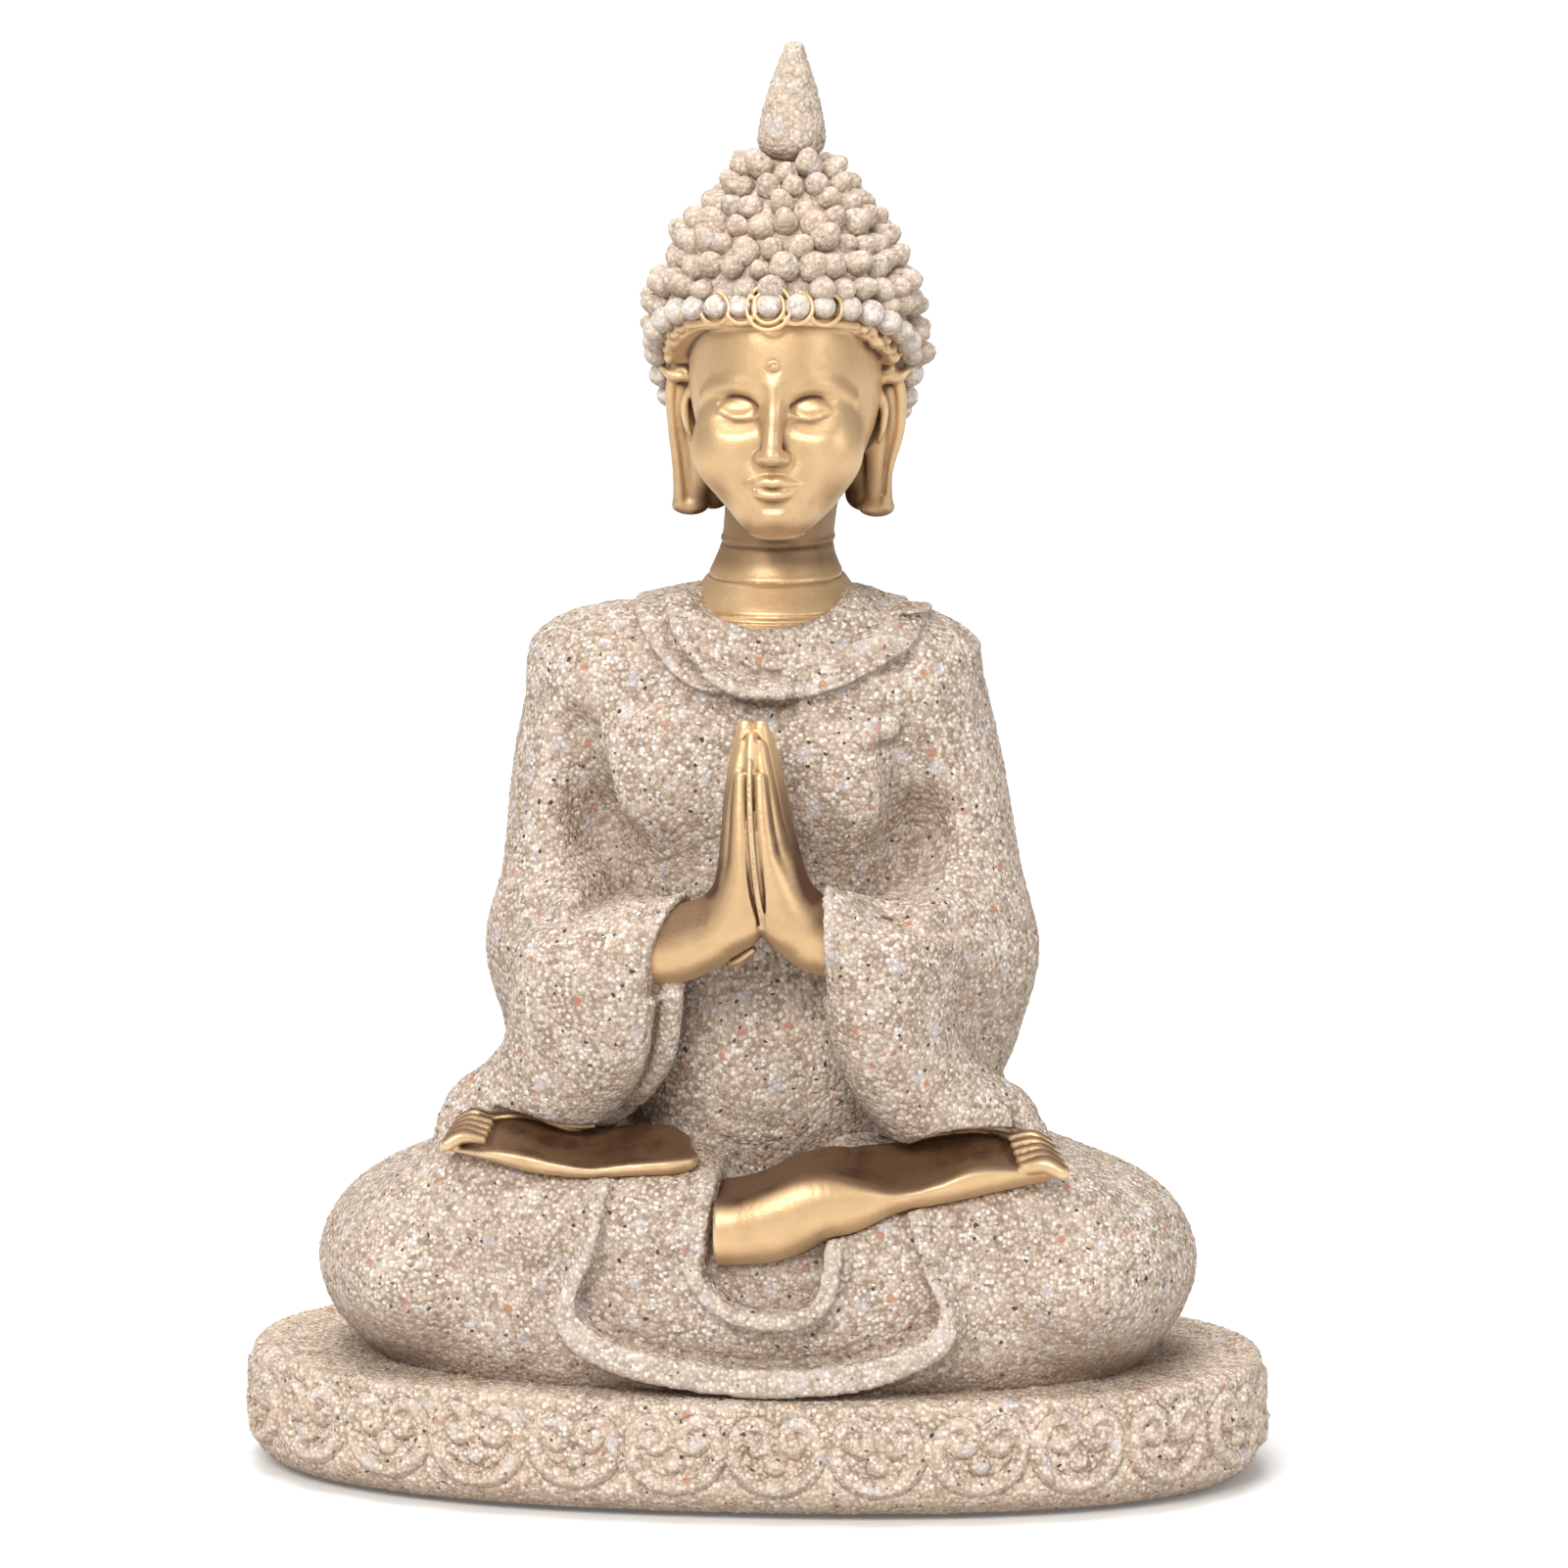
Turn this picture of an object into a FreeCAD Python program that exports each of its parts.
"""Seated figure in prayer on an oval plinth: a small ornament cast in sand-filled resin.

Frame: +Z up, the figure faces -Y, origin on the resting plane under the middle of the plinth.
All sizes are in millimetres. The figure's right side is at -X.
"""

import FreeCAD
import Part
import math
import os

from FreeCAD import Vector

# ---- driving dimensions -------------------------------------------------------------------
HEIGHT = 115.0            # resting plane to the tip of the finial
BASE_WIDTH = 82.0
BASE_DEPTH = 45.0
BASE_TOP = 9.8            # top face of the plinth
BASE_SQUARENESS = 2.3     # exponent of the plinth's oval outline, 2 is an ellipse
BASE_TOP_EDGE = 0.7       # rounding of the plinth's top edge
BASE_FOOT_EDGE = 1.8      # rounding of its lower edge

FELT_PROUD = 0.4          # how far the felt pad stands below the plinth
FELT_THICK = 1.0
FELT_INSET = 4.0          # felt edge to plinth edge

REGISTER_DEPTH = 1.5      # the lap's boss drops this far into the plinth
REGISTER_HALF = (27.0, 11.0)

SCROLLS = 26              # scroll ornaments round the plinth's wall
SCROLL_RADIUS = 2.9
SCROLL_BEAD = 0.5

SEAT_TOP = 29.0           # top of the crossed legs, where the torso starts
SHOULDER_TOP = 70.3
LAP_SQUARENESS = 2.3
TORSO_X = 0.4             # the upper body sits a little towards +X
NECK = (1.5, 1.8)         # neck axis, x and y
HEAD_X = 1.8
CHIN_Z = 76.6
HAIR_X = 2.0
HAIR_TOP = 105.6
FINIAL = (2.7, 1.4)       # finial axis, x and y

CURL_PITCH = 2.05         # bead to bead along a row
CURL_RADIUS = 0.95
ROW_PITCH = 1.9           # row to row down the crown
HAIRLINE_FRONT = 93.6     # height of the hairline over the brow
NAPE = 79.5               # height of the hairline at the back
TRIM_BEADS = 7            # beads of the first row that wear a gold ring

OVAL_POINTS = 20          # formula points of an oval outline
BIG = 60.0                # half size of a cutting block
SLIVER = 0.1              # volume under which a scrap of a cut is dropped

# ---- body stations: height, half width, front y, back y, centre x ---------------------------
LAP = [
    (BASE_TOP, 31.5, -19.5, 15.0, 0.4),
    (13.5, 34.0, -20.6, 16.0, 0.4),
    (18.5, 35.6, -21.0, 16.5, 0.4),
    (23.0, 33.2, -20.3, 16.0, 0.4),
    (26.5, 27.5, -18.0, 15.5, 0.2),
    (SEAT_TOP, 21.5, -13.5, 15.0, 0.2),
]
TORSO = [
    (SEAT_TOP, 15.0, -9.5, 13.5, TORSO_X),
    (36.0, 14.5, -11.0, 13.0, TORSO_X),
    (46.0, 13.5, -9.5, 12.0, TORSO_X),
    (56.0, 14.0, -10.0, 11.5, TORSO_X),
    (62.0, 15.0, -9.2, 11.0, TORSO_X),
    (66.5, 14.0, -7.8, 10.0, TORSO_X),
    (68.8, 11.0, -6.6, 9.0, 0.8),
    (SHOULDER_TOP, 7.6, -5.2, 7.6, 1.1),
]
SKULL = [
    (CHIN_Z, 2.2, -7.2, -3.0, HEAD_X),
    (78.3, 4.2, -8.2, 0.5, HEAD_X),
    (81.0, 6.0, -8.6, 6.0, HEAD_X),
    (84.0, 7.2, -8.8, 9.0, HEAD_X),
    (88.0, 7.9, -9.0, 10.4, HEAD_X),
    (92.0, 8.0, -8.8, 10.6, HEAD_X),
    (96.0, 7.2, -7.4, 9.8, HEAD_X),
    (99.0, 5.0, -4.5, 7.0, HEAD_X),
]
HAIR = [
    (77.5, 7.4, -5.0, 9.8, HAIR_X),
    (82.0, 8.8, -7.6, 11.6, HAIR_X),
    (88.0, 9.6, -9.5, 12.4, HAIR_X),
    (93.0, 9.9, -10.0, 12.5, HAIR_X),
    (97.0, 8.7, -8.6, 11.0, HAIR_X),
    (100.0, 6.8, -6.2, 8.6, HAIR_X),
    (103.0, 4.7, -3.6, 6.2, 2.3),
    (HAIR_TOP, 2.6, -1.2, 3.8, 2.6),
]
# Sleeve stations for the +X side: height, half width, front y, back y, distance from TORSO_X.
ARM = [
    (26.0, 6.6, -10.0, 9.5, 14.4),
    (31.0, 5.9, -9.5, 9.0, 14.0),
    (36.0, 5.6, -9.0, 8.5, 14.2),
    (43.0, 6.0, -9.0, 7.5, 15.4),
    (52.0, 5.6, -6.8, 7.0, 15.0),
    (60.0, 5.2, -5.6, 6.8, 14.4),
    (65.5, 4.4, -4.2, 6.0, 13.4),
    (67.8, 2.6, -2.0, 4.2, 12.6),
]
DRAPE = [
    (24.0, 4.2, -15.5, -6.0, 14.6),
    (30.0, 4.8, -16.5, -6.0, 13.6),
    (38.0, 6.2, -17.2, -6.0, 12.2),
    (44.5, 6.6, -16.4, -6.5, 12.0),
    (47.0, 4.6, -13.8, -7.0, 12.0),
]
# Hand pair stations: height, half width of both hands, front y, back y, seam x.
HANDS = [
    (45.6, 2.6, -19.4, -14.6, 3.6),
    (48.5, 3.5, -20.2, -13.8, 3.3),
    (53.0, 3.3, -20.0, -13.6, 2.9),
    (58.0, 2.8, -19.4, -13.6, 2.4),
    (61.5, 2.1, -18.6, -14.0, 1.9),
    (63.3, 1.0, -17.4, -14.8, 1.65),
]
# Foot stations along X: x, centre y, centre z, half depth, half height.
RIGHT_FOOT = [
    (-0.3, -19.6, 22.7, 2.4, 2.5),
    (4.0, -19.5, 24.0, 2.7, 2.8),
    (9.0, -18.8, 25.6, 2.9, 2.6),
    (15.0, -17.4, 26.8, 3.1, 2.3),
    (21.0, -15.9, 27.5, 3.2, 1.9),
    (25.0, -14.9, 28.0, 2.9, 1.5),
    (27.2, -14.6, 28.2, 1.9, 1.0),
]
LEFT_FOOT = [
    (-1.0, -15.7, 27.6, 2.8, 1.9),
    (-6.0, -15.8, 27.9, 3.1, 1.9),
    (-12.0, -15.6, 28.0, 3.1, 1.8),
    (-18.0, -14.8, 28.1, 2.9, 1.6),
    (-22.0, -14.0, 28.2, 2.4, 1.3),
    (-23.6, -13.7, 28.2, 1.4, 0.8),
]
# Collar stations: middle height, half width, half depth, drop to the front. Centred on COLLAR.
COLLAR_FOLDS = [
    (66.6, 11.6, 9.6, 2.9),
    (68.0, 12.9, 10.6, 2.7),
    (69.6, 11.6, 9.4, 2.0),
    (71.0, 8.4, 7.4, 1.2),
]
COLLAR = (1.1, 0.5)
# Rolled folds of the hem, each a U on the lap's front: centre x, half width, top, bottom, radius.
HEM_FOLDS = [(2.4, 14.6, 26.0, 11.0, 1.0), (3.4, 5.4, 20.4, 16.0, 0.8)]
# Neck and finial outlines: radius, height.
NECK_OUTLINE = [(6.9, 68.4), (5.9, 70.2), (4.9, 72.2), (4.7, 75.0), (4.9, 80.0)]
NECK_SPIGOT = (3.4, 62.5)     # radius and lowest point of the peg that enters the torso
FINIAL_OUTLINE = [
    (1.7, 105.6), (2.5, 106.6), (2.68, 108.0), (2.45, 109.8), (1.85, 112.0), (1.05, 114.2), (0.6, HEIGHT)
]
FINIAL_PEG = (0.9, 102.6)


# ---- helpers ------------------------------------------------------------------------------
def oval(centre, half_u, half_v, u_axis, v_axis, power=2.0):
    """Closed wire of one periodic curve: a superellipse in the plane of two unit axes."""
    points = []
    for i in range(OVAL_POINTS):
        a = 2.0 * math.pi * i / OVAL_POINTS
        c, s = math.cos(a), math.sin(a)
        u = math.copysign(abs(c) ** (2.0 / power), c) * half_u
        v = math.copysign(abs(s) ** (2.0 / power), s) * half_v
        points.append(centre + u_axis * u + v_axis * v)
    curve = Part.BSplineCurve()
    curve.interpolate(Points=points, PeriodicFlag=True)
    return Part.Wire([curve.toShape()])


def level_loft(stations, power=2.0):
    """Solid through level ovals, each (height, half width, front y, back y, centre x)."""
    x_axis, y_axis = Vector(1, 0, 0), Vector(0, 1, 0)
    wires = []
    for z, half_width, front, back, x in stations:
        centre = Vector(x, (front + back) / 2.0, z)
        wires.append(oval(centre, half_width, (back - front) / 2.0, x_axis, y_axis, power))
    return Part.makeLoft(wires, True, False)


def limb_loft(stations):
    """Solid through upright ovals across X, each (x, centre y, centre z, half depth, half height)."""
    wires = []
    for x, y, z, half_depth, half_height in stations:
        wires.append(oval(Vector(x, y, z), half_depth, half_height, Vector(0, 1, 0), Vector(0, 0, 1)))
    return Part.makeLoft(wires, True, False)


def turned(outline, axis_xy):
    """Solid of revolution about a vertical axis, from (radius, height) points, bottom to top."""
    x, y = axis_xy
    bottom, top = outline[0][1], outline[-1][1]
    curve = Part.BSplineCurve()
    curve.interpolate([Vector(x + r, y, z) for r, z in outline])
    rim_low, rim_high = Vector(x + outline[0][0], y, bottom), Vector(x + outline[-1][0], y, top)
    low, high = Vector(x, y, bottom), Vector(x, y, top)
    edges = [
        Part.makeLine(low, rim_low),
        curve.toShape(),
        Part.makeLine(rim_high, high),
        Part.makeLine(high, low),
    ]
    face = Part.Face(Part.Wire(edges))
    return face.revolve(Vector(x, y, 0), Vector(0, 0, 1), 360)


def rod(start, end, radius_start, radius_end):
    """Cone or cylinder between two points."""
    along = end - start
    if abs(radius_start - radius_end) < 1e-6:
        return Part.makeCylinder(radius_start, along.Length, start, along)
    return Part.makeCone(radius_start, radius_end, along.Length, start, along)


def roll(points, radius):
    """Round-section fold of cloth along a smooth path."""
    curve = Part.BSplineCurve()
    curve.interpolate(points)
    start = curve.FirstParameter
    section = Part.Wire([Part.makeCircle(radius, curve.value(start), curve.tangent(start)[0])])
    return Part.Wire([curve.toShape()]).makePipeShell([section], True, False)


def station_at(stations, z):
    """Half width, front, back and centre x of a level loft at a height, between its stations."""
    z = min(max(z, stations[0][0]), stations[-1][0])
    for low, high in zip(stations, stations[1:]):
        if z <= high[0]:
            t = (z - low[0]) / (high[0] - low[0])
            return [a + (b - a) * t for a, b in zip(low[1:], high[1:])]
    return list(stations[-1][1:])


def without(shape, neighbours):
    """A shape cut back to the parts that it meets, with slivers dropped."""
    for other in neighbours:
        shape = shape.cut(other)
    kept = [s for s in shape.Solids if s.Volume > SLIVER]
    return kept[0] if len(kept) == 1 else Part.makeCompound(kept)


def largest(shape):
    """The biggest solid of a cut, without slivers."""
    return max(shape.Solids, key=lambda s: s.Volume)


def mirrored(stations, side):
    """Sleeve stations for one side: the distance from the middle becomes a centre x."""
    return [(z, w, front, back, TORSO_X + side * off) for z, w, front, back, off in stations]


# ---- plinth -------------------------------------------------------------------------------
def plinth_point(share):
    """Point and outward direction on the plinth's outline at a share of its length."""
    steps = 720
    half_w, half_d = BASE_WIDTH / 2.0, BASE_DEPTH / 2.0
    ring = []
    for i in range(steps + 1):
        a = 2.0 * math.pi * i / steps
        c, s = math.cos(a), math.sin(a)
        ring.append(
            Vector(
                math.copysign(abs(c) ** (2.0 / BASE_SQUARENESS), c) * half_w,
                math.copysign(abs(s) ** (2.0 / BASE_SQUARENESS), s) * half_d,
                0,
            )
        )
    lengths = [0.0]
    for a, b in zip(ring, ring[1:]):
        lengths.append(lengths[-1] + (b - a).Length)
    target = share * lengths[-1]
    i = max(k for k in range(steps) if lengths[k] <= target)
    along = ring[i + 1] - ring[i]
    point = ring[i] + along * ((target - lengths[i]) / along.Length)
    return point, Vector(along.y, -along.x, 0).normalize()


def base_plinth():
    """Oval slab with rounded edges, a seat for the lap's boss and a pocket for the felt."""
    x_axis, y_axis = Vector(1, 0, 0), Vector(0, 1, 0)
    foot = Vector(0, 0, FELT_PROUD)
    outline = oval(foot, BASE_WIDTH / 2.0, BASE_DEPTH / 2.0, x_axis, y_axis, BASE_SQUARENESS)
    slab = Part.Face(outline).extrude(Vector(0, 0, BASE_TOP - FELT_PROUD))
    rims = {}
    for edge in slab.Edges:
        if edge.BoundBox.ZLength < 0.1:
            rims["top" if edge.BoundBox.ZMin > BASE_TOP / 2.0 else "foot"] = edge
    slab = slab.makeFillet(BASE_TOP_EDGE, [rims["top"]])
    foot_rim = [e for e in slab.Edges if e.BoundBox.ZMax < FELT_PROUD + 0.1]
    slab = slab.makeFillet(BASE_FOOT_EDGE, foot_rim)
    return slab.cut(felt_pad()).cut(register())


def felt_pad():
    """Soft pad let into the underside, standing a little proud of it."""
    half_w, half_d = BASE_WIDTH / 2.0 - FELT_INSET, BASE_DEPTH / 2.0 - FELT_INSET
    outline = oval(Vector(0, 0, 0), half_w, half_d, Vector(1, 0, 0), Vector(0, 1, 0), BASE_SQUARENESS)
    return Part.Face(outline).extrude(Vector(0, 0, FELT_THICK))


def register():
    """Boss under the lap that keys the figure into the plinth."""
    low = Vector(LAP[0][4], -2.0, BASE_TOP - REGISTER_DEPTH)
    outline = oval(low, REGISTER_HALF[0], REGISTER_HALF[1], Vector(1, 0, 0), Vector(0, 1, 0))
    return Part.Face(outline).extrude(Vector(0, 0, REGISTER_DEPTH))


def base_scrolls(plinth):
    """One open scroll per bay round the wall, standing half out of it."""
    scrolls = []
    middle = (BASE_TOP + FELT_PROUD) / 2.0
    for i in range(SCROLLS):
        point, outward = plinth_point((i + 0.5) / SCROLLS)
        sideways = Vector(-outward.y, outward.x, 0)
        centre = Vector(point.x, point.y, middle + 0.4)
        ring = Part.makeTorus(SCROLL_RADIUS, SCROLL_BEAD, centre, outward)
        gap = Part.makeBox(2.2, 3.0, 2.0, Vector(-1.1, -1.5, SCROLL_RADIUS - 1.0))
        gap.Placement = FreeCAD.Placement(
            centre, FreeCAD.Rotation(sideways, outward, Vector(0, 0, 1), "ZXY")
        )
        scrolls.append(largest(ring.cut(gap).cut(plinth)))
    return Part.makeCompound(scrolls)


# ---- robe ---------------------------------------------------------------------------------
def robe_lap():
    """Crossed legs under the robe, with the boss that keys them into the plinth."""
    return level_loft(LAP, LAP_SQUARENESS).fuse(register())


def robe_torso(neck_peg):
    """Chest, belly and back, with the socket for the neck peg."""
    return level_loft(TORSO, 2.2).cut(neck_peg)


def sleeve(side, neighbours):
    """Upper arm and the deep sleeve that hangs from the forearm to the lap."""
    arm = level_loft(mirrored(ARM, side), 2.2)
    drape = level_loft(mirrored(DRAPE, side), 2.2)
    cuff_x = HANDS[0][4] + side * 3.6
    elbow = Vector(TORSO_X + side * 15.0, -6.0, 42.5)
    cuff = Vector(cuff_x, -16.2, 44.6)
    forearm = rod(elbow, cuff, 5.4, 3.3)
    return largest(without(arm.fuse(drape).fuse(forearm), neighbours))


def collar_drape(neighbours):
    """Thick fold of cloth round the neck, lower in front."""
    wires = []
    for height, half_width, half_depth, drop in COLLAR_FOLDS:
        centre = Vector(COLLAR[0], COLLAR[1], height)
        slope = Vector(0, half_depth, drop).normalize()
        wires.append(oval(centre, half_width, half_depth, Vector(1, 0, 0), slope))
    return largest(without(Part.makeLoft(wires, True, False), neighbours))


def lap_front(x, z):
    """Point on the front of the lap at a place across it and a height."""
    half_width, front, back, middle = station_at(LAP, z)
    share = min(1.0, abs(x - middle) / half_width)
    reach = (1.0 - share ** LAP_SQUARENESS) ** (1.0 / LAP_SQUARENESS)
    return Vector(x, (front + back) / 2.0 - (back - front) / 2.0 * reach, z)


def front_hem(neighbours):
    """Hem of the robe, spread on the plinth and rolled up over the lap in two U folds."""
    outline = oval(Vector(2.2, -12.4, BASE_TOP), 16.6, 9.3, Vector(1, 0, 0), Vector(0, 1, 0), 2.2)
    folds = [without(Part.Face(outline).extrude(Vector(0, 0, 1.2)), neighbours)]
    for middle, half_width, top, bottom, radius in HEM_FOLDS:
        points = []
        for i in range(OVAL_POINTS + 1):
            a = math.pi * i / OVAL_POINTS
            x = middle - half_width * math.copysign(abs(math.cos(a)) ** 0.6, math.cos(a))
            points.append(lap_front(x, top - (top - bottom) * math.sin(a) ** 0.8))
        folds.append(largest(without(roll(points, radius), neighbours + folds)))
    return Part.makeCompound(folds)


# ---- gilded parts -------------------------------------------------------------------------
def hand_block(side):
    """Everything on one side of the seam between the two palms."""
    low, high = HANDS[0], HANDS[-1]
    seam = Vector(high[4] - low[4], 0, high[0] - low[0])
    block = Part.makeBox(BIG, BIG, BIG, Vector(0, -BIG / 2.0, -BIG / 2.0))
    if side < 0:
        block = Part.makeBox(BIG, BIG, BIG, Vector(-BIG, -BIG / 2.0, -BIG / 2.0))
    turn = FreeCAD.Rotation(Vector(0, 0, 1), seam)
    block.Placement = FreeCAD.Placement(Vector(low[4], -17.0, low[0]), turn)
    return block


def hand(side):
    """One palm with its fingers together, and the wrist that plugs into the sleeve."""
    palms = level_loft(HANDS, 2.0)
    wrist = rod(
        Vector(HANDS[0][4] + side * 0.6, -17.2, 48.4),
        Vector(HANDS[0][4] + side * 8.2, -14.6, 43.6),
        2.5,
        2.7,
    )
    return largest(palms.fuse(wrist).common(hand_block(side)))


def foot(stations, neighbours):
    """Shin and foot lying on the lap, sole up."""
    return largest(without(limb_loft(stations), neighbours))


def neck_peg():
    """Peg under the neck that is glued into the torso."""
    radius, low = NECK_SPIGOT
    length = NECK_OUTLINE[0][1] - low
    return Part.makeCylinder(radius, length, Vector(NECK[0], NECK[1], low))


def ear(side):
    """Long-lobed ear as a flattened egg."""
    stations = [
        (77.2, 0.5, 0.6, 2.0, 0.0),
        (79.0, 0.9, 0.0, 3.0, 0.0),
        (83.0, 0.8, 0.2, 3.2, 0.2),
        (87.0, 1.1, -0.4, 3.8, 0.4),
        (89.2, 0.6, 0.6, 3.0, 0.6),
    ]
    placed = [(z, w, f, b, HEAD_X + side * (8.1 + out)) for z, w, f, b, out in stations]
    return level_loft(placed)


def head():
    """Face, ears and neck in one casting, with its peg."""
    shape = level_loft(SKULL).fuse(turned(NECK_OUTLINE, NECK)).fuse(neck_peg())
    nose = Part.makeCone(0.9, 1.4, 5.0, Vector(HEAD_X, -8.2, 89.0), Vector(0, -0.12, -1.0))
    shape = shape.fuse(nose)
    for side in (-1, 1):
        shape = shape.fuse(ear(side))
    return shape.removeSplitter()


# ---- hair ---------------------------------------------------------------------------------
def below_hairline():
    """Block that holds everything under the sloping hairline."""
    front, back = HAIR[3][2], HAIR[3][3]
    slope = Vector(0, back - front, NAPE - HAIRLINE_FRONT)
    block = Part.makeBox(2 * BIG, 2 * BIG, 2 * BIG, Vector(-BIG, -BIG, -2 * BIG))
    turn = FreeCAD.Rotation(Vector(0, 1, 0), slope)
    block.Placement = FreeCAD.Placement(Vector(HAIR_X, front, HAIRLINE_FRONT), turn)
    return block


def hair_cap(head_shape, finial_shape):
    """Shell of hair that sits on the skull and carries the curls."""
    cap = level_loft(HAIR).cut(below_hairline()).cut(head_shape).cut(finial_shape)
    return largest(cap)


def hair_surface(angle, z):
    """Point on the hair's outline at a height, by the angle round it."""
    half_width, front, back, x = station_at(HAIR, z)
    middle, half_depth = (front + back) / 2.0, (back - front) / 2.0
    return Vector(x + math.cos(angle) * half_width, middle + math.sin(angle) * half_depth, z)


def facing(angle, z):
    """Direction that the hair's surface faces there."""
    around = hair_surface(angle + 0.01, z) - hair_surface(angle - 0.01, z)
    upward = hair_surface(angle, z + 0.4) - hair_surface(angle, z - 0.4)
    return around.cross(upward).normalize()


def hairline(y):
    """Height of the sloping hairline at a depth."""
    front, back = HAIR[3][2], HAIR[3][3]
    return HAIRLINE_FRONT + (NAPE - HAIRLINE_FRONT) * (y - front) / (back - front)


def hairline_row():
    """Angles and heights of the first row of curls, which follows the hairline."""
    steps = 360
    path = []
    for i in range(steps + 1):
        angle = 2.0 * math.pi * i / steps
        z = HAIRLINE_FRONT
        for _ in range(20):
            z = hairline(hair_surface(angle, z).y) + CURL_RADIUS * 0.8
        path.append((angle, z))
    return spaced(path)


def crown_rows():
    """The level rows above it, from the nape to the crown, without what the hairline cuts off."""
    rows = []
    z, walked = HAIR_TOP, 0.0
    while z > NAPE + 2.0 * CURL_RADIUS:
        step = (hair_surface(math.pi / 2.0, z - 0.1) - hair_surface(math.pi / 2.0, z)).Length
        if walked + step >= ROW_PITCH * (len(rows) + 0.6):
            ring = spaced([(2.0 * math.pi * i / 360, z) for i in range(361)], len(rows) % 2)
            rows.append([c for c in ring if c[1] > hairline(hair_surface(*c).y) + 2.4 * CURL_RADIUS])
        walked += step
        z -= 0.1
    return [row for row in reversed(rows) if row]


def spaced(path, offset=0):
    """Places one curl pitch apart along a closed path of angles and heights."""
    points = [hair_surface(*place) for place in path]
    lengths = [0.0]
    for a, b in zip(points, points[1:]):
        lengths.append(lengths[-1] + (b - a).Length)
    count = int(lengths[-1] / CURL_PITCH)
    places = []
    for i in range(count):
        wanted = (i + 0.5 * offset) * lengths[-1] / count
        nearest = min(range(len(path)), key=lambda k: abs(lengths[k] - wanted))
        places.append(path[nearest])
    return places


def curl_row(places):
    """Hemispherical curls side by side along one row."""
    curls = []
    for place in places:
        curls.append(Part.makeSphere(CURL_RADIUS, hair_surface(*place), facing(*place), 0, 90, 360))
    return Part.makeCompound(curls)


def hairline_trim(neighbours):
    """Gold rings round the middle curls of the first row."""
    first_row = sorted(hairline_row(), key=lambda place: hair_surface(*place).y)
    rings = []
    for place in first_row[:TRIM_BEADS]:
        seat = hair_surface(*place) + facing(*place) * 0.15
        rings.append(without(Part.makeTorus(1.15, 0.22, seat, facing(*place)), neighbours + rings))
    return Part.makeCompound([solid for ring in rings for solid in ring.Solids])


def finial():
    """Flame-shaped point on the crown, with the peg that enters the hair."""
    radius, low = FINIAL_PEG
    peg = Part.makeCylinder(radius, FINIAL_OUTLINE[0][1] - low, Vector(FINIAL[0], FINIAL[1], low))
    return turned(FINIAL_OUTLINE, FINIAL).fuse(peg)


# ---- assembly -----------------------------------------------------------------------------
def build():
    """All sub-parts by node name. Each later part is cut to the ones that it meets."""
    parts = {}
    parts["felt_pad"] = felt_pad()
    parts["base_plinth"] = base_plinth()
    parts["base_scrolls"] = base_scrolls(parts["base_plinth"])
    parts["robe_lap"] = robe_lap()
    parts["head"] = head()
    parts["robe_torso"] = robe_torso(parts["head"])
    parts["right_foot"] = foot(RIGHT_FOOT, [parts["robe_lap"]])
    parts["left_foot"] = foot(LEFT_FOOT, [parts["robe_lap"], parts["right_foot"]])
    parts["right_hand"] = hand(-1)
    parts["left_hand"] = hand(1)
    fixed = ["robe_torso", "robe_lap", "right_foot", "left_foot", "right_hand", "left_hand"]
    for name, side in (("right_sleeve", -1), ("left_sleeve", 1)):
        parts[name] = sleeve(side, [parts[n] for n in fixed])
    round_neck = ["robe_torso", "head", "right_sleeve", "left_sleeve"]
    parts["collar_drape"] = collar_drape([parts[n] for n in round_neck])
    parts["front_hem"] = front_hem([parts["robe_lap"], parts["base_plinth"], parts["right_foot"]])
    parts["finial"] = finial()
    parts["hair_cap"] = hair_cap(parts["head"], parts["finial"])
    for number, places in enumerate([hairline_row()] + crown_rows(), start=1):
        parts[f"curl_row_{number}"] = curl_row(places)
    round_brow = ["head", "hair_cap", "curl_row_1"]
    parts["hairline_trim"] = hairline_trim([parts[n] for n in round_brow])
    return parts


def main():
    os.makedirs("parts", exist_ok=True)
    for name, shape in build().items():
        valid = shape.isValid() and all(s.isClosed() for s in shape.Solids)
        print(f"{name:16s} solids {len(shape.Solids):3d} volume {shape.Volume:10.2f} valid {valid}")
        shape.exportStep(f"parts/{name}.step")


main()
